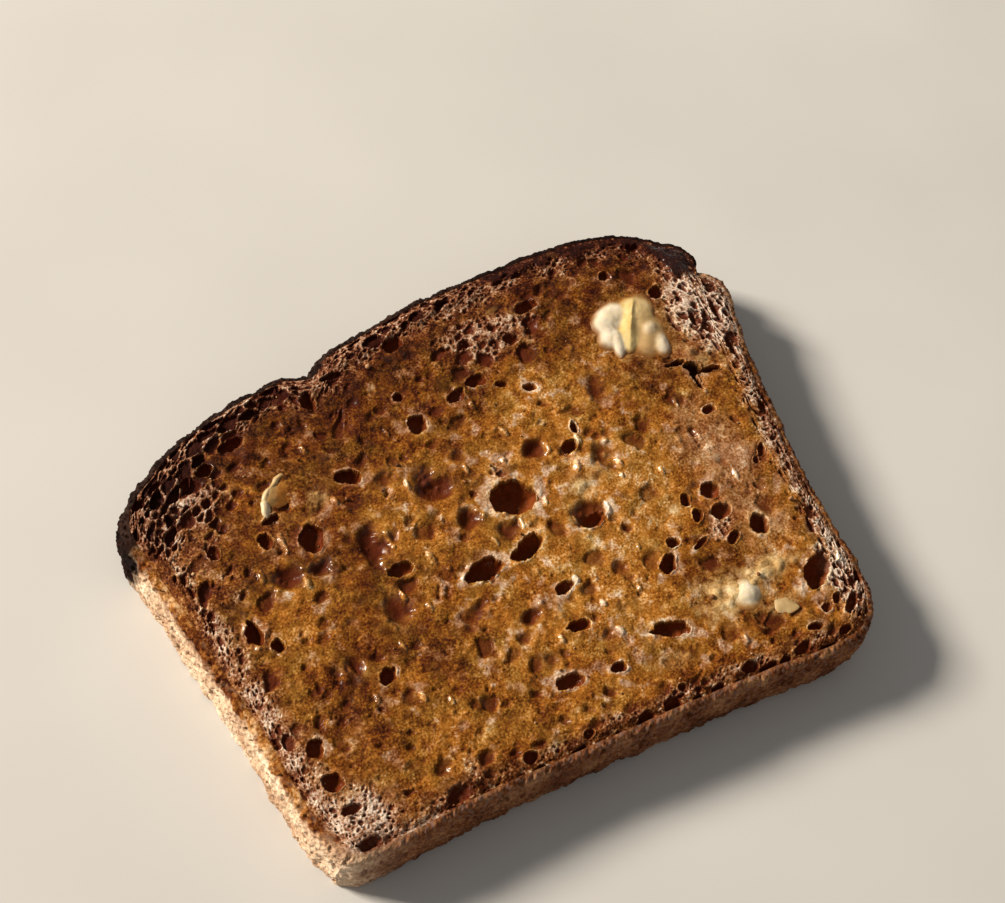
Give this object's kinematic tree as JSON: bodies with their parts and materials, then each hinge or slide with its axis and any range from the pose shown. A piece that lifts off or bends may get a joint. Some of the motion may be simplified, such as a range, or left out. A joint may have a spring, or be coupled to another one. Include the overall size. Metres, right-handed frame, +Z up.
{
  "type": "buttered toast",
  "caption": "Slice of toasted wholemeal tin-loaf bread lying flat, open porous crumb soaked with melted butter, with soft butter lumps on its face.",
  "frame": {"origin": "centre of the bounding box, at the flat underside that the slice rests on", "axes": "+Z up out of the buttered face, +Y from the straight front edge towards the burnt domed crown, +X along the front edge to the right"},
  "size_m": [0.1232, 0.0934, 0.016],
  "materials": {
    "toasted_bread": "matte",
    "soft_butter": "satin"
  },
  "bodies": {
    "root": {"toast_slice": "toasted_bread", "butter_pat": "soft_butter", "butter_knob": "soft_butter", "butter_flake": "soft_butter", "butter_sliver": "soft_butter"}
  },
  "joints": []
}
